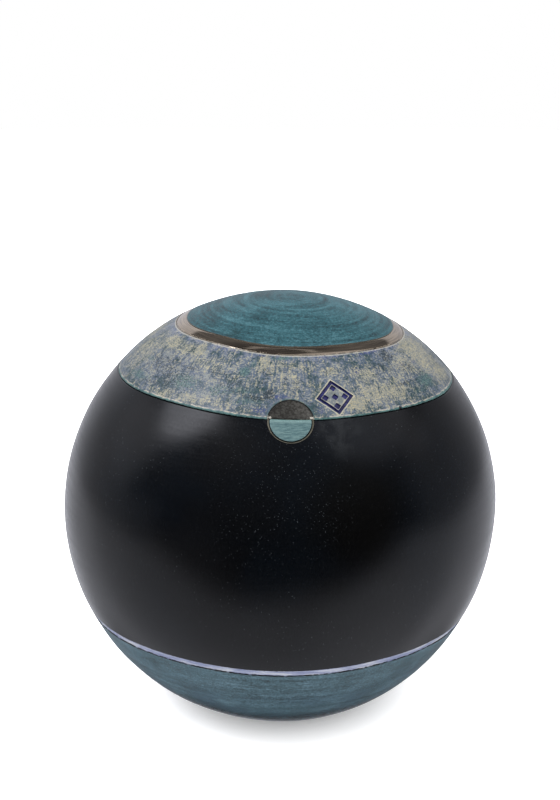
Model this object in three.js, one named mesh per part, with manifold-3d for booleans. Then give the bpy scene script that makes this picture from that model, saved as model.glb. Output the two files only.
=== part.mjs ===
// A ball-shaped urn in two pieces: a hollow body on a turned foot, and a cap-like lid that lifts off.
// Millimetres, +Z up, the round medallion faces -Y. The origin is the centre of the underside.

import * as THREE from 'three';
import { mergeVertices } from 'three/addons/utils/BufferGeometryUtils.js';
import Module from 'manifold-3d';

const wasm = await Module();
wasm.setup();

// The ball and its wall
const BALL_RADIUS = 110;
const WALL = 7;
const FLOOR_THICKNESS = 8;
const FOOT_RADIUS = 42;
const FOOT_RING_WIDTH = 8;
const FOOT_RECESS = 1.5;

// The joint between body and lid, a plane that leans a little, as the urn was cut by hand
const JOINT_LATITUDE = 40.8;
const JOINT_LEAN_X = 1.9;
const JOINT_LEAN_Y = 0;
const JOINT_GAP = 0.4;
const RIM_BEVEL = 0.6;
const LID_EDGE_BEVEL = 1.1;

// The collar under the lid that keeps it on the mouth
const COLLAR_CLEARANCE = 1.5;
const COLLAR_THICKNESS = 5;
const COLLAR_DROP = 8;
const COLLAR_ROOT = 1;

// The lustre band between the lid's shoulder and its dome, turned on an axis of its own: a low cushion
// whose two edges lie a little deeper than the ball around it
const BAND_LOW_LATITUDE = 59.2;
const BAND_HIGH_LATITUDE = 62.3;
const BAND_CREST_SINK = 0.08;
const BAND_EDGE_SINK = 0.48;
const BAND_ROUNDNESS = 2.6;
const BAND_LEAN_X = 2.9;
const BAND_LEAN_Y = 0.25;

// The narrow groove between the black ball and the base, which leans a little too
const GROOVE_TOP_LATITUDE = -23.6;
const GROOVE_BOTTOM_LATITUDE = -25.4;
const GROOVE_DEPTH = 0.7;
const GROOVE_LEAN_X = 0.75;
const GROOVE_LEAN_Y = 0.3;

// The round medallion, sunk across the joint
const MEDALLION_RADIUS = 10.7;
const MEDALLION_DEPTH = 0.9;
const MEDALLION_AZIMUTH = 3.3;
const MEDALLION_LATITUDE = 40.6;

// The impressed seal on the shoulder: a square frame around a chequer of small pits, one corner up
const SEAL_SIDE = 12.6;
const SEAL_FRAME_WIDTH = 1.1;
const SEAL_CELLS = 3;
const SEAL_PIT_SIDE = 2.3;
const SEAL_DEPTH = 0.9;
const SEAL_AZIMUTH = 19.2;
const SEAL_LATITUDE = 46.2;
const SEAL_SPIN = 44;

// How finely round forms are divided
const TURNS = 64;
const MEDALLION_TURNS = 32;
const OUTER_STEP = 5.9;
const INNER_STEP = 12;
const COVE_STEPS = 5;
const BAND_STEPS = 4;
const MEDALLION_STEP = 2.4;
const CUT_MARGIN = 12;

const rad = THREE.MathUtils.degToRad;
const deg = THREE.MathUtils.radToDeg;
const innerRadius = BALL_RADIUS - WALL;
const centreHeight = Math.sqrt(BALL_RADIUS ** 2 - FOOT_RADIUS ** 2);
const footLatitude = -deg(Math.asin(centreHeight / BALL_RADIUS));
const jointHeight = BALL_RADIUS * Math.sin(rad(JOINT_LATITUDE));
const jointRadius = BALL_RADIUS * Math.cos(rad(JOINT_LATITUDE));

// A profile point at a latitude, given its distance from the ball's centre
function polar(radius, latitude) {
  return new THREE.Vector2(radius * Math.cos(rad(latitude)), radius * Math.sin(rad(latitude)));
}

// Profile points on a circle about the ball's centre, from one latitude to another
function arc(radius, fromLatitude, toLatitude, step) {
  const count = Math.max(1, Math.round(Math.abs(toLatitude - fromLatitude) / step));
  const points = [];
  for (let i = 0; i <= count; i += 1) {
    points.push(polar(radius, THREE.MathUtils.lerp(fromLatitude, toLatitude, i / count)));
  }
  return points;
}

// Profile points of the lustre band, from its lower edge to its upper one
function cushion() {
  const points = [];
  for (let i = 0; i <= BAND_STEPS; i += 1) {
    const across = Math.abs(2 * i / BAND_STEPS - 1) ** BAND_ROUNDNESS;
    const sink = THREE.MathUtils.lerp(BAND_CREST_SINK, BAND_EDGE_SINK, across);
    const latitude = THREE.MathUtils.lerp(BAND_LOW_LATITUDE, BAND_HIGH_LATITUDE, i / BAND_STEPS);
    points.push(polar(BALL_RADIUS - sink, latitude));
  }
  return points;
}

// Profile points of the groove's round bottom, without its two ends on the ball
function cove() {
  const points = [];
  for (let i = 1; i < COVE_STEPS; i += 1) {
    const t = i / COVE_STEPS;
    const sink = GROOVE_DEPTH * Math.sqrt(Math.sin(Math.PI * t));
    const latitude = THREE.MathUtils.lerp(GROOVE_BOTTOM_LATITUDE, GROOVE_TOP_LATITUDE, t);
    points.push(polar(BALL_RADIUS - sink, latitude));
  }
  return points;
}

// Closed mesh with shared vertices, as a solid that can be joined and cut
function solidOf(geometry) {
  geometry.deleteAttribute('normal');
  geometry.deleteAttribute('uv');
  const merged = mergeVertices(geometry);
  const index = Array.from(merged.index.array);
  const triangles = [];
  for (let i = 0; i < index.length; i += 3) {
    const [a, b, c] = index.slice(i, i + 3);
    if (a !== b && b !== c && c !== a) {
      triangles.push(a, b, c);
    }
  }
  return new wasm.Manifold(new wasm.Mesh({
    numProp: 3,
    vertProperties: Float32Array.from(merged.attributes.position.array),
    triVerts: Uint32Array.from(triangles),
  }));
}

// A profile of radius and height, turned about the Z axis
function turned(profile, turns = TURNS) {
  const geometry = new THREE.LatheGeometry(profile, turns);
  const solid = solidOf(geometry);
  return solid.transform(new THREE.Matrix4().makeRotationX(Math.PI / 2).elements);
}

// The frame of an axis that leans from the vertical by small angles towards +X and +Y
function leaning(towardsX, towardsY) {
  const matrix = new THREE.Matrix4().makeRotationX(-rad(towardsY));
  return matrix.multiply(new THREE.Matrix4().makeRotationY(rad(towardsX)));
}

// The frame of a place on the ball: X east, Y north, Z outwards, spun about the outward direction
function placeOnBall(azimuth, latitude, spin = 0) {
  const east = new THREE.Vector3(Math.cos(rad(azimuth)), Math.sin(rad(azimuth)), 0);
  const outwards = new THREE.Vector3(
    Math.sin(rad(azimuth)) * Math.cos(rad(latitude)),
    -Math.cos(rad(azimuth)) * Math.cos(rad(latitude)),
    Math.sin(rad(latitude)),
  );
  const north = new THREE.Vector3().crossVectors(outwards, east);
  const matrix = new THREE.Matrix4().makeBasis(east, north, outwards);
  return matrix.multiply(new THREE.Matrix4().makeRotationZ(rad(spin)));
}

// The ball up to above the joint, turned with the groove about the groove's own axis
function ballOutside() {
  const bottomLatitude = footLatitude - OUTER_STEP / 2;
  const topLatitude = JOINT_LATITUDE + CUT_MARGIN;
  return turned([
    new THREE.Vector2(0, polar(BALL_RADIUS, bottomLatitude).y),
    ...arc(BALL_RADIUS, bottomLatitude, GROOVE_BOTTOM_LATITUDE, OUTER_STEP),
    ...cove(),
    ...arc(BALL_RADIUS, GROOVE_TOP_LATITUDE, topLatitude, OUTER_STEP),
    new THREE.Vector2(0, polar(BALL_RADIUS, topLatitude).y),
  ]).transform(leaning(GROOVE_LEAN_X, GROOVE_LEAN_Y).elements);
}

// The hollow of the body, from its flat floor to above the joint
function hollow() {
  const floorHeight = FLOOR_THICKNESS - centreHeight;
  const floorLatitude = deg(Math.asin(floorHeight / innerRadius));
  const topLatitude = JOINT_LATITUDE + CUT_MARGIN;
  return turned([
    new THREE.Vector2(0, floorHeight),
    ...arc(innerRadius, floorLatitude, topLatitude, INNER_STEP),
    new THREE.Vector2(0, BALL_RADIUS),
  ]);
}

// Everything below the foot, with the shallow recess inside the foot ring
function belowFoot() {
  const far = BALL_RADIUS + CUT_MARGIN;
  const recessRadius = FOOT_RADIUS - FOOT_RING_WIDTH;
  return turned([
    new THREE.Vector2(0, -far),
    new THREE.Vector2(far, -far),
    new THREE.Vector2(far, -centreHeight),
    new THREE.Vector2(recessRadius + FOOT_RECESS, -centreHeight),
    new THREE.Vector2(recessRadius, FOOT_RECESS - centreHeight),
    new THREE.Vector2(0, FOOT_RECESS - centreHeight),
  ]);
}

// Everything above the joint plane, lower outside the wall so that the rim gets a small bevel
function aboveJoint() {
  const far = BALL_RADIUS + CUT_MARGIN;
  return turned([
    new THREE.Vector2(0, jointHeight),
    new THREE.Vector2(jointRadius - RIM_BEVEL, jointHeight),
    new THREE.Vector2(jointRadius + RIM_BEVEL, jointHeight - 2 * RIM_BEVEL),
    new THREE.Vector2(far, jointHeight - 2 * RIM_BEVEL),
    new THREE.Vector2(far, far),
    new THREE.Vector2(0, far),
  ]).transform(leaning(JOINT_LEAN_X, JOINT_LEAN_Y).elements);
}

// The cap of the ball over the joint, hollow, with the lustre band between shoulder and dome
function capShell() {
  const lowLatitude = JOINT_LATITUDE - CUT_MARGIN;
  return turned([
    ...arc(BALL_RADIUS, lowLatitude, BAND_LOW_LATITUDE, OUTER_STEP),
    ...cushion(),
    ...arc(BALL_RADIUS, BAND_HIGH_LATITUDE, 90, OUTER_STEP),
    ...arc(innerRadius, 90, lowLatitude, INNER_STEP),
    polar(BALL_RADIUS, lowLatitude),
  ]).transform(leaning(BAND_LEAN_X, BAND_LEAN_Y).elements);
}

// Everything below the lid's seat, higher outside the wall so that the lid's lower edge gets its bevel
function belowSeat() {
  const far = BALL_RADIUS + CUT_MARGIN;
  const seat = jointHeight + JOINT_GAP;
  return turned([
    new THREE.Vector2(0, 0),
    new THREE.Vector2(far, 0),
    new THREE.Vector2(far, seat + 2 * LID_EDGE_BEVEL),
    new THREE.Vector2(jointRadius + LID_EDGE_BEVEL, seat + 2 * LID_EDGE_BEVEL),
    new THREE.Vector2(jointRadius - LID_EDGE_BEVEL, seat),
    new THREE.Vector2(0, seat),
  ]).transform(leaning(JOINT_LEAN_X, JOINT_LEAN_Y).elements);
}

// The collar that hangs from the lid inside the mouth
function collar() {
  const mouthRadius = Math.sqrt(innerRadius ** 2 - jointHeight ** 2);
  const outside = mouthRadius - COLLAR_CLEARANCE;
  const inside = outside - COLLAR_THICKNESS;
  const bottom = jointHeight - COLLAR_DROP;
  const top = Math.sqrt(innerRadius ** 2 - inside ** 2) + COLLAR_ROOT;
  return turned([
    new THREE.Vector2(inside, bottom),
    new THREE.Vector2(outside, bottom),
    new THREE.Vector2(outside, top),
    new THREE.Vector2(inside, top),
    new THREE.Vector2(inside, bottom),
  ]).transform(leaning(JOINT_LEAN_X, JOINT_LEAN_Y).elements);
}

// The plug of clay that the round medallion lacks, its floor parallel to the ball
function medallionPlug() {
  const floorRadius = BALL_RADIUS - MEDALLION_DEPTH;
  const edgeLatitude = deg(Math.acos(MEDALLION_RADIUS / floorRadius));
  const top = BALL_RADIUS + CUT_MARGIN;
  const floor = arc(floorRadius, 90, edgeLatitude, MEDALLION_STEP);
  return turned([
    ...floor,
    new THREE.Vector2(MEDALLION_RADIUS, top),
    new THREE.Vector2(0, top),
  ], MEDALLION_TURNS).transform(placeOnBall(MEDALLION_AZIMUTH, MEDALLION_LATITUDE).elements);
}

// The outline of a square about a point
function square(path, side, x = 0, y = 0) {
  const half = side / 2;
  path.moveTo(x - half, y - half);
  path.lineTo(x + half, y - half);
  path.lineTo(x + half, y + half);
  path.lineTo(x - half, y + half);
  path.closePath();
  return path;
}

// The stamp that the seal was pressed with: a frame, and a chequer of small squares inside it
function sealStamp() {
  const frame = square(new THREE.Shape(), SEAL_SIDE);
  const fieldSide = SEAL_SIDE - 2 * SEAL_FRAME_WIDTH;
  frame.holes.push(square(new THREE.Path(), fieldSide));
  const shapes = [frame];
  const pitch = fieldSide / SEAL_CELLS;
  const middle = (SEAL_CELLS - 1) / 2;
  for (let row = 0; row < SEAL_CELLS; row += 1) {
    for (let column = 0; column < SEAL_CELLS; column += 1) {
      if ((row + column) % 2 === 0) {
        const x = (column - middle) * pitch;
        const y = (row - middle) * pitch;
        shapes.push(square(new THREE.Shape(), SEAL_PIT_SIDE, x, y));
      }
    }
  }
  const depth = SEAL_DEPTH + CUT_MARGIN;
  const place = placeOnBall(SEAL_AZIMUTH, SEAL_LATITUDE, SEAL_SPIN);
  const lift = new THREE.Matrix4().makeTranslation(0, 0, BALL_RADIUS - SEAL_DEPTH);
  const seat = place.multiply(lift).elements;
  return shapes.map((shape) => {
    const block = new THREE.ExtrudeGeometry(shape, { depth, bevelEnabled: false });
    return solidOf(block).transform(seat);
  });
}

function bodySolid() {
  const shell = ballOutside().subtract(hollow()).subtract(belowFoot());
  return shell.subtract(aboveJoint()).subtract(medallionPlug());
}

function lidSolid() {
  let solid = capShell().subtract(belowSeat()).add(collar()).subtract(medallionPlug());
  for (const tooth of sealStamp()) {
    solid = solid.subtract(tooth);
  }
  return solid;
}

function meshOf(name, solid, material) {
  const { vertProperties, triVerts } = solid.getMesh();
  const geometry = new THREE.BufferGeometry();
  geometry.setAttribute('position', new THREE.BufferAttribute(vertProperties, 3));
  geometry.setIndex(new THREE.BufferAttribute(triVerts, 1));
  geometry.computeVertexNormals();
  const mesh = new THREE.Mesh(geometry, material);
  mesh.name = name;
  mesh.position.z = centreHeight;
  return mesh;
}

const bodyGlaze = new THREE.MeshStandardMaterial({ color: 0x17191b, roughness: 0.45, metalness: 0 });
const lidGlaze = new THREE.MeshStandardMaterial({ color: 0x8c948f, roughness: 0.4, metalness: 0 });

const urn = new THREE.Group();
urn.add(meshOf('urn_body', bodySolid(), bodyGlaze));
urn.add(meshOf('urn_lid', lidSolid(), lidGlaze));

export default urn;
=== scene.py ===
"""The looks of the ball urn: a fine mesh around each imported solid, the glazes, the studio and the camera.

Metres, +Z up, the round medallion faces -Y. Azimuth is in degrees from -Y towards +X, latitude in degrees
from the ball's equator. A lean is how far an axis tips from the vertical, in degrees towards +X and +Y.
"""

import itertools
import math

import bpy
import numpy as np
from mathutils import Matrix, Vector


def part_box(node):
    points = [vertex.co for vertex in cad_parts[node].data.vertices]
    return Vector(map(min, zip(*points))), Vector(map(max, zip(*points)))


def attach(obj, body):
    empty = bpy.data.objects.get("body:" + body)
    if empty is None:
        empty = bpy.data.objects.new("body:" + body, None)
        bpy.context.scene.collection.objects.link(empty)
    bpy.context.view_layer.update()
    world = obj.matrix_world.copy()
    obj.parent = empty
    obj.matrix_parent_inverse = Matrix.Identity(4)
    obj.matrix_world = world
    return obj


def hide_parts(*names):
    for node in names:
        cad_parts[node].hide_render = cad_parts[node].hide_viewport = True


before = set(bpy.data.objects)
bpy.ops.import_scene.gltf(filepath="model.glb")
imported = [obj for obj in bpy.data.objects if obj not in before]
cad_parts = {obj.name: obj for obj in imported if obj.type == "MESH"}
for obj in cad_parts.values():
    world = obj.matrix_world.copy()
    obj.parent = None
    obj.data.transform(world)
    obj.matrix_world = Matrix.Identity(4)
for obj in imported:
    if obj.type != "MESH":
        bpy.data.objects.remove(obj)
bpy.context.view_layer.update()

MM = 0.001

# The ball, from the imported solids
body_low, body_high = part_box("urn_body")
LID_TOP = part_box("urn_lid")[1].z
RADIUS = (body_high.x - body_low.x) / 2
FOOT_RADIUS = 42 * MM
CENTRE = np.array([0, 0, math.sqrt(RADIUS ** 2 - FOOT_RADIUS ** 2)])
WALL = 7 * MM
INNER_RADIUS = RADIUS - WALL
FLOOR_THICKNESS = 8 * MM
FOOT_RING_WIDTH = 8 * MM
FOOT_RECESS = 1.5 * MM
SOFT_CORNER = 0.8 * MM

# The circles on it, in degrees, and the chamfer's width in millimetres
LEVEL = (0.0, 0.0)
JOINT_LATITUDE = 40.8
JOINT_LEAN = (1.9, 0.0)
JOINT_GAP = 0.2 * MM
JOINT_HEIGHT = RADIUS * math.sin(math.radians(JOINT_LATITUDE))
RIM_ROLL = 0.25 * MM
LID_ROLL = 0.25 * MM
CHAMFER_WIDTH = 1.3
CHAMFER_UNEVEN = 0.25
CHAMFER_DEPTH = 0.4 * MM
BAND_LOW = 59.35
BAND_HIGH = 62.45
BAND_LEAN = (2.9, 0.25)
BAND_STEP = 0.03
BAND_CREST_SINK = 0.08 * MM
BAND_EDGE_SINK = 0.36 * MM
BAND_ROUNDNESS = 4.5
GROOVE_TOP = -23.6
GROOVE_BOTTOM = -25.4
GROOVE_LEAN = (0.75, 0.3)
GROOVE_DEPTH = 0.7 * MM
GROOVE_SHAPE = 2.2
SWAY = 0.28
SWAY_WAVES = 5

# The seat of the joint, glazed at its outer edge alone, and the collar under the lid
MOUTH_RADIUS = math.sqrt(INNER_RADIUS ** 2 - JOINT_HEIGHT ** 2)
GLAZE_END_RADIUS = 80.2 * MM
LID_BARE_RADIUS = 78 * MM
BODY_BARE_RADIUS = 77 * MM
COLLAR_CLEARANCE = 1.5 * MM
COLLAR_THICKNESS = 5 * MM
COLLAR_DROP = 8 * MM

# The medallion, sunk across the joint: a deep half in the lid, a shallow one with a ring in the body
MEDALLION_AZIMUTH = 3.3
MEDALLION_LATITUDE = 40.6
MEDALLION_RADIUS = 10.7 * MM
MEDALLION_DEPTH = 0.9 * MM
MEDALLION_WALL = 0.35 * MM
TEAL_HALF_DEPTH = 0.4 * MM
TEAL_HALF_RADIUS = 9.75 * MM
OUTLINE_RADIUS = 10.55 * MM
OUTLINE_WALL = 0.5 * MM

# The seal: a square frame around a chequer of small pits
SEAL_AZIMUTH = 19.2
SEAL_LATITUDE = 46.2
SEAL_SPIN = 44
SEAL_HALF = 6.3 * MM
SEAL_FRAME = 1.3 * MM
SEAL_CELLS = 3
SEAL_PIT_HALF = 1.3 * MM
SEAL_DEPTH = 0.7 * MM
SEAL_WALL = 0.2 * MM

# The camera, seven radii from the ball's centre, and the photograph's frame in pixels
IMAGE_WIDTH = 560
IMAGE_HEIGHT = 800
BALL_RADIUS_PX = 215.3
CAMERA_RADII = 7.0
CAMERA_ELEVATION = 21.14
CAMERA_PITCH = -17.18
SENSOR = 36.0

# How lumps() is shuffled
SEED_SHIFT = np.array([17.3, 5.9, 11.7])
CELL_PRIMES = np.array([73856093, 19349663, 83492791])
SHUFFLE_PRIME = 1274126177
LOW_BITS = 0x7FFFFFFF


def smooth(value, low, high):
    """From 0 to 1 as the value goes from low to high, with soft ends."""
    t = np.clip((value - low) / (high - low), 0, 1)
    return t * t * (3 - 2 * t)


def lumps(points, size, seed):
    """Smooth noise from -1 to 1 at points in metres, in lumps of about that size, the same on every run."""
    spread = points / size + SEED_SHIFT * seed
    cell = np.floor(spread).astype(np.int64)
    t = spread - cell
    t = t * t * (3 - 2 * t)
    total = np.zeros(points.shape[:-1])
    for corner in itertools.product((0, 1), repeat=3):
        mixed = np.bitwise_xor.reduce((cell + np.array(corner)) * CELL_PRIMES, axis=-1)
        mixed = (mixed ^ (mixed >> 13)) * SHUFFLE_PRIME & LOW_BITS
        weight = np.prod(np.where(np.array(corner) == 1, t, 1 - t), axis=-1)
        total += weight * (mixed / (LOW_BITS // 2) - 1)
    return total


def tilt(points, lean):
    """Points turned with an axis that leans by small angles towards +X and +Y."""
    a, b = np.radians(lean[0]), np.radians(lean[1])
    x, y, z = points[..., 0], points[..., 1], points[..., 2]
    x, z = x * np.cos(a) + z * np.sin(a), z * np.cos(a) - x * np.sin(a)
    y, z = y * np.cos(b) + z * np.sin(b), z * np.cos(b) - y * np.sin(b)
    return np.stack(np.broadcast_arrays(x, y, z), axis=-1)


def unit(azimuth, latitude, lean=LEVEL):
    """Unit vectors from the ball's centre, by azimuth and latitude about an axis."""
    a, b = np.radians(azimuth), np.radians(latitude)
    x, y = np.cos(b) * np.sin(a), -np.cos(b) * np.cos(a)
    return tilt(np.stack(np.broadcast_arrays(x, y, np.sin(b)), axis=-1), lean)


def axis(lean):
    return unit(0.0, 90.0, lean)


def place_on_ball(azimuth, latitude, spin=0.0):
    """Two tangent directions and the outward one at a place, the first two spun about the third."""
    out = unit(azimuth, latitude)
    east = unit(azimuth + 90, 0.0)
    north = np.cross(out, east)
    s = math.radians(spin)
    return east * math.cos(s) + north * math.sin(s), north * math.cos(s) - east * math.sin(s), out


MEDALLION = place_on_ball(MEDALLION_AZIMUTH, MEDALLION_LATITUDE)
SEAL = place_on_ball(SEAL_AZIMUTH, SEAL_LATITUDE, SEAL_SPIN)


def on_tangent(directions, place):
    """Distances from a place along its two tangents, in metres; far off, where it faces away."""
    x = directions @ place[0] * RADIUS
    y = directions @ place[1] * RADIUS
    away = directions @ place[2] < 0.5
    return np.where(away, RADIUS, x), np.where(away, RADIUS, y)


def off_tangent(x, y, place):
    """The directions that lie at those distances from a place."""
    out = np.sqrt(np.maximum(0, 1 - (x ** 2 + y ** 2) / RADIUS ** 2))
    flat = (x[..., None] * place[0] + y[..., None] * place[1]) / RADIUS
    return flat + out[..., None] * place[2]


def nearest_level(value, levels, reach):
    """The value, moved onto a level that is within reach."""
    levels = np.array(levels)
    nearest = levels[np.abs(value[..., None] - levels).argmin(-1)]
    return np.where(np.abs(value - nearest) < reach, nearest, value)


def snap_to_circle(directions, place, radii, reach):
    """Moves what lies near a circle about a place onto it, so that the edge there is a clean line."""
    x, y = on_tangent(directions, place)
    distance = np.hypot(x, y)
    snapped = nearest_level(distance, radii, reach)
    scale = snapped / np.maximum(distance, 1e-9)
    moved = off_tangent(x * scale, y * scale, place)
    return np.where((snapped != distance)[..., None], moved, directions)


def snap_to_square(directions, place, middle, halves, reach):
    """The same for squares about a point of the place's tangents."""
    x, y = on_tangent(directions, place)
    x, y = x - middle[0], y - middle[1]
    bound = max(halves) + reach
    inside = np.maximum(np.abs(x), np.abs(y)) < bound
    new_x, new_y = x.copy(), y.copy()
    for half in halves:
        for sign in (-1, 1):
            near_x = (np.abs(x - sign * half) < reach) & (np.abs(y) < half + reach)
            near_y = (np.abs(y - sign * half) < reach) & (np.abs(x) < half + reach)
            new_x = np.where(near_x, sign * half, new_x)
            new_y = np.where(near_y, sign * half, new_y)
    moved = off_tangent(new_x + middle[0], new_y + middle[1], place)
    changed = inside & ((new_x != x) | (new_y != y))
    return np.where(changed[..., None], moved, directions)


def pit_middles():
    """The middles of the chequer's pits, on the seal's two tangents."""
    pitch = 2 * (SEAL_HALF - SEAL_FRAME) / SEAL_CELLS
    middle = (SEAL_CELLS - 1) / 2
    cells = itertools.product(range(SEAL_CELLS), repeat=2)
    return [((i - middle) * pitch, (j - middle) * pitch) for i, j in cells if (i + j) % 2 == 0]


def square_trench(x, y, outer, inner=None):
    """How deep, from 0 to 1, a square pit is, or a square frame where it has an inner half side."""
    m = np.maximum(np.abs(x), np.abs(y))
    deep = np.clip((outer - m) / SEAL_WALL, 0, 1)
    if inner is not None:
        deep = np.minimum(deep, np.clip((m - inner) / SEAL_WALL, 0, 1))
    return deep


def seal_sink(directions):
    x, y = on_tangent(directions, SEAL)
    deep = square_trench(x, y, SEAL_HALF, SEAL_HALF - SEAL_FRAME)
    for i, j in pit_middles():
        deep = np.maximum(deep, square_trench(x - i, y - j, SEAL_PIT_HALF))
    return SEAL_DEPTH * deep


def round_sink(directions, radius, wall):
    x, y = on_tangent(directions, MEDALLION)
    return np.clip((radius - np.hypot(x, y)) / wall, 0, 1)


def sway(directions):
    """How far the hand-turned circles wander from true ones, in degrees of latitude."""
    return -SWAY * np.cos(SWAY_WAVES * np.arctan2(directions[..., 0], -directions[..., 1]))


def around_ball(azimuths, latitude, lean):
    """Directions around one of the ball's circles, as it wanders."""
    return unit(azimuths, latitude + sway(unit(azimuths, latitude, lean)), lean)


def latitude_about(directions, lean):
    """Latitude about an axis, counted along the wandering circles."""
    return np.degrees(np.arcsin(np.clip(directions @ axis(lean), -1, 1))) - sway(directions)


def band_sink(latitude):
    """How far the lustre band lies inside the ball: a low cushion between two sharp steps."""
    across = np.abs(2 * (latitude - BAND_LOW) / (BAND_HIGH - BAND_LOW) - 1)
    deep = BAND_CREST_SINK + (BAND_EDGE_SINK - BAND_CREST_SINK) * across ** BAND_ROUNDNESS
    return np.where(across < 1, deep, 0)


def groove_sink(latitude):
    """The same for the round-bottomed groove."""
    across = np.abs(2 * (latitude - GROOVE_BOTTOM) / (GROOVE_TOP - GROOVE_BOTTOM) - 1)
    return GROOVE_DEPTH * (1 - np.minimum(across, 1) ** GROOVE_SHAPE) ** (1 / GROOVE_SHAPE)


# How far the ball lies inside a true one: on average, and its lumps' size, depth and noise
MEAN_SINK = 0.20 * MM
BROAD_LUMPS = ((55 * MM, 0.04 * MM, 1), (24 * MM, 0.016 * MM, 2), (20 * MM, 0.18 * MM, 5))

# Where the ball is fuller or slacker than that: azimuth, latitude, spread in degrees, and how much
OUT_OF_TRUE = (
    (104, 33, 60, 1.1 * MM),
    (84, -30, 50, -1.0 * MM),
    (-110, -8, 36, 0.12 * MM),
)
LEAST_SINK = 0.02 * MM
TOP_SINK = CENTRE[2] + RADIUS - LID_TOP + LEAST_SINK


def waviness(directions):
    """How far the hand-turned ball lies inside a true one."""
    points = directions * RADIUS
    sink = MEAN_SINK + sum(depth * lumps(points, size, seed) for size, depth, seed in BROAD_LUMPS)
    for azimuth, latitude, spread, fullness in OUT_OF_TRUE:
        angle = np.degrees(np.arccos(np.clip(directions @ unit(azimuth, latitude), -1, 1)))
        sink -= fullness * smooth(angle, spread, 0)
    rise = directions[..., 2]
    spread = np.sqrt(np.maximum(1 - rise ** 2, 0))
    at_side = RADIUS - (RADIUS - LEAST_SINK) / np.maximum(spread, 0.1)
    at_top = RADIUS - (RADIUS - TOP_SINK) / np.maximum(rise, 0.1)
    return np.maximum(sink, np.maximum(at_side, at_top))


# The brush's ridges: their length, how much finer they are across, their height, and the degrees they fade in
BRUSH_LENGTH = 40 * MM
BRUSH_FINENESS = 22
BRUSH_RELIEF = 0.03 * MM
BRUSH_FADE = 2


def brush_ridges(directions, lean, seed):
    """Low ridges that the brush left as the pot turned, along circles about an axis, in metres."""
    upright = axis(lean)
    height = directions @ upright
    flat = directions - height[..., None] * upright
    flat = flat / np.maximum(np.linalg.norm(flat, axis=-1, keepdims=True), 1e-6)
    across = np.radians(latitude_about(directions, lean)) * RADIUS * BRUSH_FINENESS
    return BRUSH_RELIEF * (1 + lumps(flat * BRUSH_LENGTH + across[..., None] * upright, BRUSH_LENGTH, seed))


# The meshes: stretches and steps in degrees, numbers of rows, and how far a point is moved onto an edge
LID_FINE_COLUMNS = (-6.0, 29.0)
LID_FINE_ROWS = (42.2, 52.3)
BODY_FINE_COLUMNS = (-4.0, 11.0)
BODY_FINE_ROWS = (33.5, 40.3)
LOWEST_ROW = -67.1
HIGHEST_INNER_ROW = 39.5
FINE_COLUMN = 0.17
COARSE_COLUMN = 1.25
FINE_ROW = 0.13
PLAIN_ROW = 1.2
SHOULDER_ROW = 0.7
DOME_ROW = 0.8
INNER_ROW = 2.2
BAND_ROWS = 16
ROLL_ROWS = 5
BRIDGE_ROWS = 5
SNAP = 0.125 * MM
SEAL_SNAP = 0.1 * MM
SHARP_ANGLE = 42


def columns(fine_from, fine_to):
    """Azimuths around the ball, close together in one stretch."""
    fine = np.arange(fine_from, fine_to, FINE_COLUMN)
    count = round((360 - (fine_to - fine_from)) / COARSE_COLUMN)
    return np.concatenate([fine, np.linspace(fine_to, fine_from + 360, count, endpoint=False)])


def stretch(start, end, step):
    """Latitudes from start up to, but without, end."""
    count = max(1, round(abs(end - start) / step))
    return np.linspace(start, end, count, endpoint=False)


def ring(radius, height, azimuths, lean):
    """A circle about an axis, by its radius and its height over the ball's centre, which may vary."""
    a = np.radians(azimuths)
    x, y = radius * np.sin(a), -radius * np.cos(a)
    return CENTRE + tilt(np.stack(np.broadcast_arrays(x, y, height), axis=-1), lean)


def inner_leg(other):
    """The inner face's radius at a height over the ball's centre, or its height at a radius."""
    return math.sqrt(INNER_RADIUS ** 2 - other ** 2)


def in_scene(name, data):
    obj = bpy.data.objects.new(name, data)
    bpy.context.scene.collection.objects.link(obj)
    return obj


def local_azimuth(directions, lean):
    """Azimuths about an axis of directions that were made about it."""
    u = directions @ unit(90.0, 0.0, lean)
    v = directions @ unit(0.0, 0.0, lean)
    return np.degrees(np.arctan2(u, v))


class Lathe:
    """Collects rings of points from one pole to the other and makes one closed mesh of them."""

    def __init__(self, name, azimuths, first_pole):
        self.name = name
        self.azimuths = azimuths
        self.first = first_pole
        self.rows = []
        self.slots = []

    def add(self, points, slot):
        self.rows.append(points)
        self.slots.append(slot)

    def circles(self, slot, lean, *circles):
        """Rows by their radius and their height over the ball's centre."""
        for radius, height in circles:
            self.add(ring(radius, height, self.azimuths, lean), slot)

    def close(self, last_pole, materials):
        rows = np.stack(self.rows)
        count, width = rows.shape[:2]
        vertices = np.concatenate([self.first[None], rows.reshape(-1, 3), last_pole[None]])
        here = np.arange(width)
        after = (here + 1) % width
        distance = np.linalg.norm(rows - CENTRE, axis=-1)
        faces = [np.stack([np.zeros(width, int), 1 + after, 1 + here], axis=-1)]
        slots = [np.full(width, self.slots[0])]
        for j in range(count - 1):
            a = 1 + j * width + here
            b = 1 + j * width + after
            c = b + width
            d = a + width
            low, high = distance[j], distance[j + 1]
            rising = np.abs(low - high[after])
            falling = np.abs(low[after] - high)
            along = (rising <= falling)[:, None]
            first = np.where(along, np.stack([a, b, c], -1), np.stack([a, b, d], -1))
            second = np.where(along, np.stack([a, c, d], -1), np.stack([b, c, d], -1))
            faces.append(np.concatenate([first, second]))
            slots.append(np.full(2 * width, self.slots[j + 1]))
        last = 1 + (count - 1) * width
        faces.append(np.stack([last + here, last + after, np.full(width, len(vertices) - 1)], axis=-1))
        slots.append(np.full(width, self.slots[-1]))
        return mesh_object(self.name, vertices, np.concatenate(faces), np.concatenate(slots), materials)


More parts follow.
